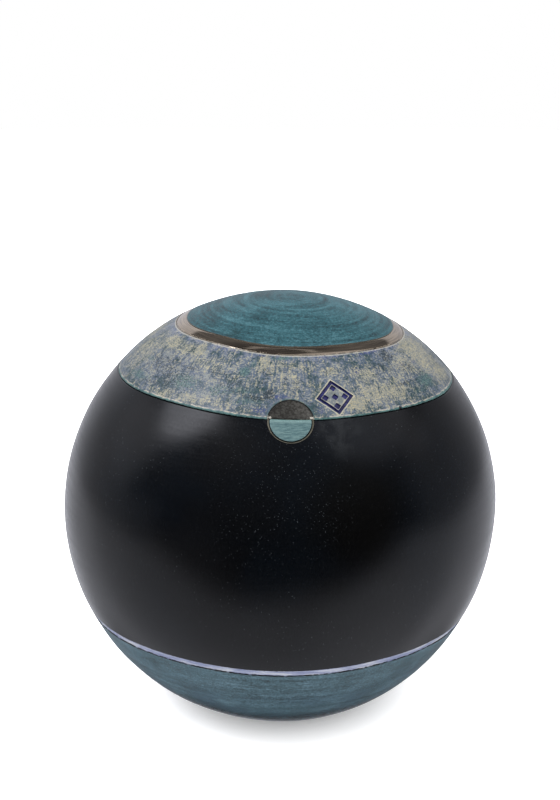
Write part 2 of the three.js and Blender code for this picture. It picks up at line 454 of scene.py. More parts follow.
def mesh_object(name, vertices, triangles, slots, materials):
    mesh = bpy.data.meshes.new(name)
    mesh.vertices.add(len(vertices))
    mesh.vertices.foreach_set("co", vertices.astype(np.float32).ravel())
    mesh.loops.add(triangles.size)
    mesh.loops.foreach_set("vertex_index", triangles.astype(np.int32).ravel())
    mesh.polygons.add(len(triangles))
    mesh.polygons.foreach_set("loop_start", np.arange(0, triangles.size, 3, dtype=np.int32))
    for material in materials:
        mesh.materials.append(material)
    mesh.polygons.foreach_set("material_index", slots.astype(np.int32))
    mesh.polygons.foreach_set("use_smooth", np.ones(len(triangles), bool))
    mesh.update(calc_edges=True)
    mesh.validate()
    mesh.set_sharp_from_angle(angle=math.radians(SHARP_ANGLE))
    return in_scene(name, mesh)


# Where the shoulder's glazes ran together: azimuth, latitude, half width, half height, all in degrees, and
# strength. A patch fades out between the two shares of its half sizes.
PATCH_FADE = (1.6, 0.2)
PATCH_LAYER = "glaze_patches"
CREAM_PATCHES = (
    (-62, 58, 7, 2.2, 0.7), (-41, 58.5, 3, 3, 0.8), (-30, 55, 9, 2.6, 0.35),
    (-32, 44.5, 16, 1.4, 0.4), (-7, 56.5, 3, 2.5, 0.8), (0, 54, 5, 4, 0.3),
    (76, 43.5, 8, 2.5, 0.6), (-74, 52, 12, 7, 0.35), (74, 52, 12, 7, 0.75),
    (5, 52, 3, 5, 0.3), (-51, 57.5, 8, 2, 0.55), (20, 53.5, 4, 1.2, 0.7),
    (10, 55.5, 6, 1.5, 0.3), (37, 45.5, 13, 3.5, 0.6), (26, 44, 4, 2, 1.0),
    (58, 50.5, 12, 3.0, 0.45), (34, 51, 6, 2.5, 0.5), (120, 52, 26, 5, 0.7),
    (165, 56, 14, 3, 0.8), (-150, 50, 20, 5, 0.7), (-105, 55, 16, 4, 0.7),
)
TEAL_PATCHES = (
    (-14.5, 54, 3.2, 1.8, 1.0), (-11.5, 56.5, 1.6, 1.8, 0.8), (-12, 51.5, 2.5, 1, 0.5),
    (-14, 48.5, 8, 1.5, 0.6), (-11, 45.5, 8, 1.5, 0.6), (-33, 47, 12, 2.5, 0.4),
    (-38, 48.7, 8, 3, 0.8), (-22, 47.8, 7, 2.5, 0.65), (-62, 46.3, 9, 1.8, 0.7),
    (-64, 51.5, 6, 1, 0.6), (62, 44.5, 6, 2.5, 0.8), (55, 43, 5, 1.5, 0.5),
    (2, 58.3, 9, 0.6, 0.9), (110, 46, 14, 3, 0.7), (155, 50, 10, 4, 0.6),
    (-130, 54, 12, 4, 0.6), (-165, 45, 16, 2, 0.7),
)
COBALT_PATCHES = (
    (0, 46.9, 4, 0.9, 0.9), (-6.5, 43.2, 3.5, 1.2, 0.8), (4, 48.5, 3, 1, 0.5),
    (13, 43, 2.6, 1.2, 0.7), (14, 53.2, 2.6, 1.4, 0.7), (-44, 54, 3, 3, 0.5),
    (-53, 52.5, 6, 1.2, 0.5), (-36, 51.5, 2.5, 1, 0.6), (30, 53, 6, 1.6, 0.6),
    (55, 51, 3.5, 0.8, 0.8), (-9, 59.2, 3, 0.6, 0.9), (-23, 60.2, 1.5, 0.3, 1.0),
    (0, 59, 10, 0.5, 0.6), (24, 58.2, 12, 0.8, 0.9), (46, 57.3, 13, 1.2, 1.0),
    (66, 56.4, 8, 0.9, 0.8), (-32, 60.6, 14, 0.5, 0.8), (32, 52.5, 4, 1.6, 0.7),
    (64, 50.2, 7, 1.0, 0.7), (12, 55.5, 14, 2.2, 0.45), (38, 54, 10, 2, 0.45),
    (130, 57, 14, 1.5, 0.7), (-120, 48, 12, 2, 0.6), (178, 47, 10, 2, 0.6),
)
DARK_PATCHES = (
    (-4, 47.5, 2.2, 1.6, 1.0), (-8, 46.5, 4, 0.8, 0.7), (-6.3, 51, 1.8, 0.5, 0.7),
    (-5, 53.5, 2, 1.5, 0.6), (2, 51, 1.4, 3, 0.5), (6.5, 50.5, 1.4, 2, 0.5),
    (20, 53.7, 3, 0.8, 0.6), (-25, 52.7, 4, 1.2, 0.55), (-38, 52.7, 3, 0.6, 0.7),
    (-54, 52, 12, 3.5, 0.5), (-52, 46, 10, 1, 0.45), (52, 54.5, 5, 2, 0.8),
    (53, 56.2, 2, 0.8, 0.9), (44, 52, 6, 2, 0.45), (-44, 49.5, 11, 4, 0.55),
    (-20, 50, 8, 4, 0.4), (50, 46, 6, 0.5, 0.7), (58, 50, 5, 1.5, 0.5),
    (142, 53, 8, 2, 0.7), (-112, 50, 9, 3, 0.6), (-172, 54, 8, 2, 0.6),
)


def patch_strengths(directions):
    """How strong each kind of patch is at directions from the ball's centre: cream, teal, cobalt, dark."""
    azimuth = np.degrees(np.arctan2(directions[:, 0], -directions[:, 1]))
    latitude = np.degrees(np.arcsin(np.clip(directions[:, 2], -1, 1)))
    layers = []
    for patches in (CREAM_PATCHES, TEAL_PATCHES, COBALT_PATCHES, DARK_PATCHES):
        layer = np.zeros(len(directions))
        for middle, level, half_width, half_height, strength in patches:
            across = ((azimuth - middle + 180) % 360 - 180) / half_width
            distance = np.hypot(across, (latitude - level) / half_height)
            layer = np.maximum(layer, strength * smooth(distance, *PATCH_FADE))
        layers.append(layer)
    return np.stack(layers, axis=-1)


def paint_patches(obj):
    mesh = obj.data
    points = np.empty(len(mesh.vertices) * 3, np.float32)
    mesh.vertices.foreach_get("co", points)
    directions = points.reshape(-1, 3) - CENTRE
    directions /= np.linalg.norm(directions, axis=-1, keepdims=True)
    layer = mesh.attributes.new(PATCH_LAYER, "FLOAT_COLOR", "POINT")
    layer.data.foreach_set("color", patch_strengths(directions).astype(np.float32).ravel())


# Chips in the lid's lower edge, painted dark as their shade: azimuth, latitude, radius in millimetres
CHIPS = (
    (41.6, 40.4, 1.0),
    (-55.6, 42.6, 1.0),
    (27.1, 40.2, 0.8),
    (31.5, 40.1, 0.5),
    (78.3, 41.0, 0.8),
    (-120.0, 42.4, 0.9),
)

GLAZED, BARE = 0, 1


def lid_lean(latitude):
    t = smooth(latitude, JOINT_LATITUDE, BAND_LOW)
    return tuple(j + (c - j) * t for j, c in zip(JOINT_LEAN, BAND_LEAN))


def lid_sink(directions):
    """How far the lid's outer face lies inside the true ball, in metres."""
    latitude = latitude_about(directions, BAND_LEAN)
    sink = waviness(directions) + band_sink(latitude)
    sink += smooth(latitude, BAND_HIGH, BAND_HIGH + BRUSH_FADE) * brush_ridges(directions, BAND_LEAN, 3)
    sink += MEDALLION_DEPTH * round_sink(directions, MEDALLION_RADIUS, MEDALLION_WALL)
    seam = np.radians(latitude_about(directions, JOINT_LEAN) - JOINT_LATITUDE) * RADIUS / MM
    width = CHAMFER_WIDTH + CHAMFER_UNEVEN * lumps(directions * RADIUS, 4 * MM, 9)
    sink += CHAMFER_DEPTH * np.clip(1 - seam / width, 0, 1)
    return sink + seal_sink(directions)


def lid_snap(directions):
    edges = (MEDALLION_RADIUS, MEDALLION_RADIUS - MEDALLION_WALL)
    directions = snap_to_circle(directions, MEDALLION, edges, SNAP)
    inside = SEAL_HALF - SEAL_FRAME
    frame_lines = (SEAL_HALF, SEAL_HALF - SEAL_WALL, inside + SEAL_WALL, inside)
    directions = snap_to_square(directions, SEAL, (0, 0), frame_lines, SEAL_SNAP)
    pit_lines = (SEAL_PIT_HALF, SEAL_PIT_HALF - SEAL_WALL)
    for middle in pit_middles():
        directions = snap_to_square(directions, SEAL, middle, pit_lines, SEAL_SNAP)
    return directions


def body_lean(latitude):
    """Level at the foot and the equator; between them it follows the groove and above them the joint."""
    rim = smooth(latitude, 0, JOINT_LATITUDE)
    groove = smooth(latitude, -60, GROOVE_BOTTOM) * smooth(latitude, 0, GROOVE_TOP)
    return tuple(j * rim + g * groove for j, g in zip(JOINT_LEAN, GROOVE_LEAN))


def body_sink(directions):
    """How far the body's outer face lies inside the true ball, in metres."""
    latitude = latitude_about(directions, GROOVE_LEAN)
    sink = waviness(directions) + groove_sink(latitude)
    sink += smooth(latitude, GROOVE_BOTTOM, GROOVE_BOTTOM - BRUSH_FADE) * brush_ridges(directions, LEVEL, 4)
    ring_sink = round_sink(directions, OUTLINE_RADIUS, OUTLINE_WALL)
    raised = round_sink(directions, TEAL_HALF_RADIUS, MEDALLION_WALL)
    return sink + MEDALLION_DEPTH * ring_sink - (MEDALLION_DEPTH - TEAL_HALF_DEPTH) * raised


def body_snap(directions):
    outline = (OUTLINE_RADIUS, OUTLINE_RADIUS - OUTLINE_WALL)
    raised = (TEAL_HALF_RADIUS, TEAL_HALF_RADIUS - MEDALLION_WALL)
    return snap_to_circle(directions, MEDALLION, outline + raised, SNAP)


# How uneven an edge's rounding is: lump size, and share of the rounding
WORN = ((5 * MM, 0.22), (1.6 * MM, 0.12))


def roll_size(directions, size, seed):
    """An edge's rounding, a little uneven."""
    points = directions * RADIUS
    return size * (1 + sum(share * lumps(points, lump, seed + i) for i, (lump, share) in enumerate(WORN)))


def joint_rise(directions):
    """How far the joint's outer edge wanders up or down, in metres."""
    return np.radians(sway(directions)) * math.cos(math.radians(JOINT_LATITUDE)) * RADIUS


def rolled_edge(lathe, directions, sink, size, height, side, lean, slot):
    """Rows round an edge that ends at a height; side is 1 for an edge whose bulk lies above, -1 below."""
    azimuth = local_azimuth(directions, lean)
    height = height + joint_rise(directions)
    reach = RADIUS - sink - size
    middle_height = height + side * size
    middle_radius = np.sqrt(reach ** 2 - middle_height ** 2)
    outwards = np.degrees(np.arcsin(middle_height / reach))
    rows = []
    for t in np.linspace(0, 1, ROLL_ROWS, endpoint=False):
        turn = np.radians(-90 * side + (outwards + 90 * side) * t)
        radius = middle_radius + size * np.cos(turn)
        rows.append(ring(radius, middle_height + size * np.sin(turn), azimuth, lean))
    for row in rows if side > 0 else reversed(rows):
        lathe.add(row, slot)


def edge_start(azimuths, latitude, shape, roll, seed, height, side):
    """Directions, sink, size and latitudes around the ball where a rolled edge meets the outer face."""
    lean_at, snap, sink_of = shape
    lean = lean_at(latitude)
    for _ in range(3):
        directions = snap(around_ball(azimuths, latitude, lean))
        sink = sink_of(directions)
        size = roll_size(directions, roll, seed)
        middle_height = height + joint_rise(directions) + side * size
        latitude = np.degrees(np.arcsin(middle_height / (RADIUS - sink - size))) - sway(directions)
    return directions, sink, size, latitude


def outer_rows(lathe, latitudes, lean_at, snap, sink_of):
    """Rows of the outer face at those latitudes, each a number or an array around the row."""
    for latitude in latitudes:
        directions = snap(around_ball(lathe.azimuths, latitude, lean_at(np.mean(latitude))))
        radius = RADIUS - sink_of(directions)
        lathe.add(CENTRE + directions * radius[:, None], GLAZED)


def bridge(edge_latitude, latitude):
    """Latitudes of the rows between a rolled edge and the first row beyond it."""
    return [edge_latitude + (latitude - edge_latitude) * t for t in np.arange(1, BRIDGE_ROWS) / BRIDGE_ROWS]


# The ridges that throwing left inside: how many in a full circle, their height, and the lumps between them
THROWING_RIDGES = 36
THROWING_RELIEF = 0.22 * MM
INNER_UNEVEN = 0.15 * MM
INNER_LUMPS = 30 * MM


def inner_wall(latitude, azimuths, lean, seed):
    """A row of the inner face."""
    directions = unit(azimuths, latitude, lean)
    spiral = np.cos(np.radians(azimuths) - np.radians(latitude) * THROWING_RIDGES)
    swell = THROWING_RELIEF * spiral + INNER_UNEVEN * lumps(directions * RADIUS, INNER_LUMPS, seed)
    return CENTRE + directions * (INNER_RADIUS + swell)[:, None]


def make_lid(materials):
    azimuths = columns(*LID_FINE_COLUMNS)
    seat = JOINT_HEIGHT + JOINT_GAP
    outer = MOUTH_RADIUS - COLLAR_CLEARANCE
    inner = outer - COLLAR_THICKNESS
    low = JOINT_HEIGHT - COLLAR_DROP
    root = inner_leg(inner)
    soft = SOFT_CORNER

    lathe = Lathe("urn_lid_glazed", azimuths, CENTRE + axis(BAND_LEAN) * INNER_RADIUS)
    root_latitude = math.degrees(math.atan2(root, inner))
    for latitude in stretch(90 - INNER_ROW, root_latitude, INNER_ROW):
        lathe.add(inner_wall(latitude, azimuths, lid_lean(latitude), 7), BARE)
    lathe.circles(
        BARE, JOINT_LEAN,
        (inner, root),
        (inner, (root + low) / 2),
        (inner, low + soft),
        (inner + soft * 0.3, low + soft * 0.3),
        (inner + soft, low),
        (outer - soft, low),
        (outer - soft * 0.3, low + soft * 0.3),
        (outer, low + soft),
        (outer, inner_leg(outer)),
        (inner_leg(seat), seat),
        (inner_leg(seat) + soft, seat),
        (LID_BARE_RADIUS, seat),
    )
    lathe.circles(GLAZED, JOINT_LEAN, (GLAZE_END_RADIUS, seat))
    shape = (lid_lean, lid_snap, lid_sink)
    directions, sink, size, edge = edge_start(azimuths, JOINT_LATITUDE, shape, LID_ROLL, 11, seat, 1)
    rolled_edge(lathe, directions, sink, size, seat, 1, JOINT_LEAN, GLAZED)
    fine_from, fine_to = LID_FINE_ROWS
    latitudes = [
        *bridge(edge, fine_from),
        *stretch(fine_from, fine_to, FINE_ROW),
        *stretch(fine_to, BAND_LOW - BAND_STEP, SHOULDER_ROW),
        BAND_LOW - BAND_STEP,
        *np.linspace(BAND_LOW + BAND_STEP, BAND_HIGH - BAND_STEP, BAND_ROWS),
        *stretch(BAND_HIGH + BAND_STEP, 90, DOME_ROW),
    ]
    outer_rows(lathe, latitudes, *shape)
    top = axis(BAND_LEAN)
    return lathe.close(CENTRE + top * (RADIUS - lid_sink(top[None])[0]), materials)


def make_body(materials):
    azimuths = columns(*BODY_FINE_COLUMNS)
    low = -CENTRE[2]
    recess = low + FOOT_RECESS
    recess_radius = FOOT_RADIUS - FOOT_RING_WIDTH
    soft = SOFT_CORNER

    lathe = Lathe("urn_body_glazed", azimuths, CENTRE + np.array([0, 0, recess]))
    lathe.circles(
        BARE, LEVEL,
        (recess_radius * 0.33, recess),
        (recess_radius * 0.66, recess),
        (recess_radius * 0.96, recess),
        (recess_radius + 0.3 * MM, recess - 0.15 * MM),
        (recess_radius + 1.1 * MM, low + 0.2 * MM),
        (recess_radius + 1.6 * MM, low),
        (FOOT_RADIUS - 3 * MM, low),
        (FOOT_RADIUS - 0.9 * MM, low),
    )
    shape = (body_lean, body_snap, body_sink)
    directions, sink, size, edge = edge_start(azimuths, JOINT_LATITUDE, shape, RIM_ROLL, 15, JOINT_HEIGHT, -1)
    fine_from, fine_to = BODY_FINE_ROWS
    latitudes = [
        *stretch(LOWEST_ROW, GROOVE_BOTTOM, PLAIN_ROW),
        *np.linspace(GROOVE_BOTTOM, GROOVE_TOP, BAND_ROWS, endpoint=False),
        *stretch(GROOVE_TOP, fine_from, PLAIN_ROW),
        *stretch(fine_from, fine_to, FINE_ROW),
        *reversed(bridge(edge, fine_to)),
    ]
    outer_rows(lathe, latitudes, *shape)
    rolled_edge(lathe, directions, sink, size, JOINT_HEIGHT, -1, JOINT_LEAN, GLAZED)
    lathe.circles(GLAZED, JOINT_LEAN, (GLAZE_END_RADIUS, JOINT_HEIGHT))
    lathe.circles(
        BARE, JOINT_LEAN,
        (BODY_BARE_RADIUS, JOINT_HEIGHT),
        (MOUTH_RADIUS + soft, JOINT_HEIGHT),
        (MOUTH_RADIUS + soft * 0.3, JOINT_HEIGHT - soft * 0.3),
        (MOUTH_RADIUS, JOINT_HEIGHT - soft),
    )
    floor = low + FLOOR_THICKNESS
    floor_latitude = math.degrees(math.asin(floor / INNER_RADIUS))
    for latitude in stretch(HIGHEST_INNER_ROW, floor_latitude + 3, INNER_ROW):
        lathe.add(inner_wall(latitude, azimuths, body_lean(max(0.0, latitude)), 8), BARE)
    corner = inner_leg(floor)
    lathe.circles(
        BARE, LEVEL,
        (corner, floor + 1.4 * MM),
        (corner - 2.5 * MM, floor + 0.3 * MM),
        (corner * 0.85, floor),
        (corner * 0.6, floor + 0.25 * MM),
        (corner * 0.3, floor),
    )
    return lathe.close(CENTRE + np.array([0, 0, floor]), materials)


# How bright the studio's light makes a pigment, by where it lies, so that colours can be given as they show
ON_DOME = 0.235
ON_SHOULDER = 0.32
ON_BASE = 0.36

# The two teals, dark to pale, and how much their long arcs count
DOME_TONES = ((30, 62, 70), (44, 94, 104), (58, 116, 127), (94, 150, 162))
DOME_ARCS = 0.6
BASE_TONES = ((42, 62, 70), (65, 96, 106), (82, 115, 129), (112, 147, 163))
BASE_ARCS = 0.35

# Other colours, as light
BAND_BRONZE = ((0.32, 0.265, 0.205, 1), (0.46, 0.38, 0.285, 1))
INSET_BRONZE = ((0.105, 0.100, 0.086, 1), (0.205, 0.197, 0.170, 1))
BLACK = (0.0006, 0.0007, 0.0010, 1)
BLUE_BLACK = (0.0005, 0.0010, 0.0018, 1)
BROWN_BLACK = (0.0006, 0.0005, 0.0003, 1)
# A painted sheen, a little lighter than the black glaze
PAINTED_SHEEN = (0.009, 0.010, 0.011, 1)
BRIGHT_SPECK = (0.034, 0.039, 0.042, 1)
DULL_SPECK = (0.024, 0.028, 0.031, 1)
DUST = (0.0040, 0.0047, 0.0052, 1)

# Places in the glazes: azimuth and latitude
SMUDGE_PLACE = (-28.5, 66.2)
BROWN_PLACE = (20.0, 18.0)
PAINTED_SHEEN_PLACE = (17.0, 37.5)
SPECKLED_PLACE = (0.0, 24.0)

# The painted chamfer's height in millimetres, and how deep the glazes' fine bumps are
PAINTED_CHAMFER = CHAMFER_WIDTH + 0.3
LID_BUMP = 0.14 * MM
BODY_BUMP = 0.12 * MM


def as_light(value):
    """A channel from 0 to 255, as a picture shows it, as the light that it stands for."""
    v = value / 255
    return v / 12.92 if v <= 0.04045 else ((v + 0.055) / 1.055) ** 2.4


def pigment(red, green, blue, light=ON_SHOULDER):
    """The colour of a glaze that shows as that red, green and blue."""
    return (*(min(1.0, as_light(channel) * light) for channel in (red, green, blue)), 1.0)


class Value:
    """A node's output, with which sums are written as sums; a | b is the larger of two masks."""

    def __init__(self, nodes, socket):
        self.nodes = nodes
        self.socket = socket

    def __add__(self, other):
        return self.nodes.maths("ADD", self, other)

    def __radd__(self, other):
        return self.nodes.maths("ADD", other, self)

    def __sub__(self, other):
        return self.nodes.maths("SUBTRACT", self, other)

    def __rsub__(self, other):
        return self.nodes.maths("SUBTRACT", other, self)

    def __mul__(self, other):
        return self.nodes.maths("MULTIPLY", self, other)

    def __truediv__(self, other):
        return self.nodes.maths("DIVIDE", self, other)

    def __or__(self, other):
        return self.nodes.maths("MAXIMUM", self, other)


class Nodes:
    """The nodes of a material or a world, made from short expressions."""

    def __init__(self, holder):
        holder.use_nodes = True
        self.tree = holder.node_tree
        self.tree.nodes.clear()

    def add(self, kind, fed, **settings):
        """A new node with its settings; fed gives its inputs, by name or number."""
        node = self.tree.nodes.new("ShaderNode" + kind)
        for name, setting in settings.items():
            setattr(node, name, setting)
        for key, value in fed.items():
            if isinstance(value, Value):
                self.tree.links.new(value.socket, node.inputs[key])
            else:
                node.inputs[key].default_value = value
        return node

    def value(self, kind, fed, output=0, **settings):
        return Value(self, self.add(kind, fed, **settings).outputs[output])

    def maths(self, operation, *values):
        return self.value("Math", dict(enumerate(values)), operation=operation)

    def vector(self, operation, *values, output="Vector"):
        return self.value("VectorMath", dict(enumerate(values)), output, operation=operation)

    def scaled(self, vector, factor):
        return self.value("VectorMath", {"Vector": vector, "Scale": factor}, "Vector", operation="SCALE")

    def length(self, vector):
        return self.vector("LENGTH", vector, output="Value")

    def dot(self, vector, direction):
        return self.vector("DOT_PRODUCT", vector, tuple(direction), output="Value")

    def step(self, value, low, high):
        """From 0 to 1 as the value goes from low to high, which may lie below low."""
        fed = {"Value": value, "From Min": low, "From Max": high}
        return self.value("MapRange", fed, "Result", interpolation_type="SMOOTHSTEP")

    def within(self, value, low, high, soft):
        """1 between low and high, 0 outside, with soft ends."""
        return self.step(value, low - soft, low + soft) * self.step(value, high + soft, high - soft)

    def mix(self, factor, first, second):
        """A colour that goes from the first to the second as the factor grows."""
        return self.value("Mix", {"Factor": factor, 6: first, 7: second}, 2, data_type="RGBA")

    def blend(self, factor, first, second):
        """The same for numbers."""
        return self.value("Mix", {"Factor": factor, "A": first, "B": second}, "Result")

    def ramp(self, value, *stops):
        """A colour that passes through the stops, each a value and a colour, as the value grows."""
        node = self.add("ValToRGB", {"Fac": value})
        elements = node.color_ramp.elements
        while len(elements) < len(stops):
            elements.new(0.5)
        for element, (position, colour) in zip(elements, stops):
            element.position = position
            element.color = colour
        return Value(self, node.outputs["Color"])

    def weighted(self, *terms):
        """The sum of values, each with its weight."""
        total = 0.0
        for value, weight in terms:
            total = self.maths("MULTIPLY_ADD", value, weight, total)
        return total

    def varied(self, *terms):
        """The same for noises, about their middle of a half."""
        return self.weighted(*terms) + (1 - sum(weight for _, weight in terms)) / 2


class Glaze(Nodes):
    """A material on the ball, with the places and noises that its colours are made from."""

    def __init__(self, name):
        self.material = bpy.data.materials.new(name)
        super().__init__(self.material)
        place = self.value("TexCoord", {}, "Object")
        point = self.vector("SUBTRACT", place, tuple(CENTRE))
        self.out = self.vector("NORMALIZE", point)
        self.depth = RADIUS / MM - self.length(point) / MM
        self.mm = self.scaled(point, 1 / MM)

    def latitude(self, lean):
        """Degrees of latitude about an axis."""
        return self.maths("DEGREES", self.maths("ARCSINE", self.dot(self.out, axis(lean))))

    def circle_latitude(self, lean, ragged=0.0, size=0.6):
        """Latitude counted along the wandering circles, with an edge ragged by some degrees."""
        azimuth = self.maths("ARCTAN2", self.dot(self.out, (1, 0, 0)), self.dot(self.out, (0, -1, 0)))
        wander = self.maths("COSINE", azimuth * SWAY_WAVES) * SWAY
        return self.latitude(lean) + wander + (self.noise(size, 3.0) - 0.5) * ragged

    def place_distance(self, azimuth, latitude):
        """Distance in millimetres from a place on the ball."""
        place = unit(azimuth, latitude) * RADIUS / MM
        return self.length(self.vector("SUBTRACT", self.mm, tuple(place)))

    def noise(self, scale, detail=2.0, roughness=0.5, distortion=0.0, offset=0.0, at=None):
        """Fractal noise, mostly between 0.3 and 0.7, over millimetres unless another place is given."""
        at = at or self.mm
        if offset:
            at = self.vector("ADD", at, (offset, offset * 0.7, offset * 1.3))
        character = {"Detail": detail, "Roughness": roughness, "Distortion": distortion}
        return self.value("TexNoise", {"Vector": at, "Scale": scale, **character}, "Fac")

    def strokes(self, lean, reach, rise, *character, offset):
        """Noise in marks along circles: reach is their length in radians, rise their height in degrees."""
        upright = tuple(axis(lean))
        foot = self.scaled(upright, self.dot(self.out, upright))
        flat = self.vector("NORMALIZE", self.vector("SUBTRACT", self.out, foot))
        lift = self.scaled(upright, self.latitude(lean) / rise)
        along = self.vector("ADD", self.scaled(flat, 1 / reach), lift)
        return self.noise(1.0, *character, offset=offset, at=along)

    def specks(self, spacing, radius):
        """1 in small round specks, spaced and sized in millimetres, and 0 between them."""
        distance = self.value("TexVoronoi", {"Vector": self.mm, "Scale": 1 / spacing}, "Distance")
        return self.step(distance, radius / spacing, radius / spacing * 0.5)

    def finish(self, colour, roughness, metallic, height, bump, specular):
        normal = self.value("Bump", {"Strength": 1.0, "Distance": bump, "Height": height}, "Normal")
        fed = {"Base Color": colour, "Roughness": roughness, "Metallic": metallic, "Normal": normal}
        shader = self.value("BsdfPrincipled", {"Specular IOR Level": specular, **fed}, "BSDF")
        self.add("OutputMaterial", {"Surface": shader})
        return self.material


def brushed_teal(g, lean, light, tones, arc_share):
    """The teal glaze of dome and base: long smoky arcs and fine brush hatching along circles, and a grain."""
    dark, low, high, pale = (pigment(*tone, light) for tone in tones)
    arcs = g.strokes(lean, 1.5, 1.4, 4.0, 0.65, offset=3.1)
    hatch = g.strokes(lean, 0.05, 0.26, 3.0, 0.75, 0.3, offset=8.7)
    grain = g.noise(1.1, 2.0, 0.7, offset=1.0)
    smoke = g.noise(0.045, 4.0, 0.6, 0.6, offset=5.0)
    tone = g.varied((arcs, arc_share), (hatch, 0.55), (grain, 0.5), (smoke, 0.3))
    colour = g.ramp(tone, (0.35, dark), (0.45, low), (0.54, high), (0.65, pale))
    height = g.weighted((hatch, 0.6), (grain, 0.4))
    return colour, height, g.blend(g.step(hatch, 0.35, 0.65), 0.38, 0.52)


def shoulder_colour(g, turned):
    """A ground of slate, lavender and sea green, with cream, dark and coloured flecks dragged into it."""
    patches = g.value("Attribute", {}, "Vector", attribute_name=PATCH_LAYER)
    cream, teal, cobalt = (g.dot(patches, channel) for channel in np.eye(3))
    dark = g.value("Attribute", {}, "Alpha", attribute_name=PATCH_LAYER)
    fleck = g.noise(1.3, 3.0, 0.72, offset=9.0)
    other = g.strokes(BAND_LEAN, 0.011, 0.32, 2.0, 0.65, 0.3, offset=19.0)
    sponge = g.noise(0.4, 4.0, 0.72, 0.2, offset=6.0)
    drag = g.strokes(BAND_LEAN, 0.055, 0.34, 3.0, 0.7, 0.3, offset=14.0)
    stroke = g.strokes(BAND_LEAN, 0.012, 2.6, 3.0, 0.7, 0.3, offset=4.0)
    cloud = g.noise(0.06, 3.0, 0.6, 0.8, offset=2.0)

    # The ground, more lavender under the band
    hue = g.varied((cloud, 0.7), (sponge, 0.6), (fleck, 0.4), (drag, 0.3))
    dark_slate, slate = pigment(46, 74, 80), pigment(70, 90, 102)
    blue_grey, pale_grey = pigment(96, 110, 132), pigment(146, 152, 152)
    colour = g.ramp(hue, (0.37, dark_slate), (0.45, slate), (0.54, blue_grey), (0.63, pale_grey))
    lavender = g.step(turned, 55.5, 60.5) * g.step(g.varied((cloud, 0.8), (sponge, 0.8)), 0.38, 0.62)
    colour = g.mix(lavender * 0.6, colour, pigment(124, 132, 166))

    # The flecks, more of each in its own patches
    pale = g.step(g.weighted((fleck, 0.85), (stroke, 0.8), (sponge, 0.35), (cream, 0.27)), 1.02, 1.16)
    creams = (0.4, pigment(138, 144, 142)), (0.6, pigment(204, 194, 156))
    colour = g.mix(pale * 0.85, colour, g.ramp(g.varied((other, 0.8), (drag, 0.5)), *creams))
    green = g.step(g.weighted((other, 1.0), (drag, 0.5), (teal, 0.46)), 0.98, 1.12)
    greens = (0.4, pigment(46, 84, 88)), (0.6, pigment(88, 128, 126))
    colour = g.mix(green * 0.85, colour, g.ramp(fleck, *greens))
    blue = g.step(g.weighted((fleck, -1.3), (drag, 0.5), (cobalt, 0.42)), -0.12, 0.04)
    blues = (0.4, pigment(42, 54, 114)), (0.6, pigment(86, 100, 152))
    colour = g.mix(blue * 0.85, colour, g.ramp(other, *blues))
    black = g.step(g.weighted((other, 0.8), (fleck, -0.7), (dark, 0.26)), 0.17, 0.25)
    colour = g.mix(black * 0.8, colour, pigment(36, 48, 54))
    height = g.weighted((sponge, 0.4), (fleck, 0.6))
    return colour, height, g.blend(g.step(sponge, 0.4, 0.6), 0.36, 0.52)


def lower_edge(g, colour, edge, breaks):
    """The lid's lower edge: a teal chamfer with chips in it painted dark as their shade, under a pale line
    that breaks up, partly glaze gone thin on the edge and partly a painted highlight.
    """
    ragged = (g.noise(0.35, 2.0, offset=21.0) - 0.5) * 1.4
    above = edge - (PAINTED_CHAMFER + ragged)
    # The pale line over the chamfer: partly glaze gone thin on its upper edge, partly a painted highlight
    # there
    line = g.within(above, 0.0, 0.55, 0.2) * g.step(breaks, 0.42, 0.55)
    colour = g.mix(line * 0.85, colour, pigment(214, 206, 190))
    chamfer = g.mix(g.step(breaks, 0.4, 0.6), pigment(62, 104, 104), pigment(96, 140, 136))
    colour = g.mix(g.step(above, 0.12, -0.12) * 0.9, colour, chamfer)
    # Chips and patches along the very bottom, painted dark as their shade
    shaded_chips = g.step(edge, 0.9, 0.3) * g.step(g.noise(0.22, 2.0, offset=51.0), 0.66, 0.70)
    for *place, size in CHIPS:
        shaded_chips = shaded_chips | g.step(g.place_distance(*place), size, size * 0.7)
    return g.mix(shaded_chips, colour, pigment(30, 34, 34))


def seal_colour(g, colour, breaks):
    """Cobalt where the stamp went in, with pale burrs around it, partly painted highlights on their edges, on
    a bare pale ground.
    """
    half = SEAL_HALF / MM
    inner = half - SEAL_FRAME / MM
    x = g.maths("ABSOLUTE", g.dot(g.mm, SEAL[0]))
    y = g.maths("ABSOLUTE", g.dot(g.mm, SEAL[1]))
    far_off = g.step(g.dot(g.out, SEAL[2]), 0.9, 0.8) * 100.0
    across = g.weighted((x | y | far_off, 1.0), (g.noise(0.6, 2.0, offset=61.0), 0.3))
    # The pale burrs: partly raised glaze, partly a painted highlight on their edges
    burr = g.within(across, half + 0.3, half + 0.75, 0.1)
    burr = burr | g.within(across, inner - 0.5, inner - 0.15, 0.1)
    frame_line = g.within(across, inner, half + 0.15, 0.08)
    pressed = frame_line | g.step(g.depth, 0.24, 0.4) * g.step(across, half + 0.3, half + 0.1)
    colour = g.mix(g.step(across, half + 1.1, inner) * 0.4, colour, pigment(160, 162, 156))
    colour = g.mix(burr * g.step(breaks, 0.3, 0.45) * 0.8, colour, pigment(216, 208, 176))
    cobalt = g.mix(g.step(breaks, 0.4, 0.6), pigment(5, 7, 80), pigment(20, 24, 114))
    return g.mix(pressed * 0.95, colour, cobalt)


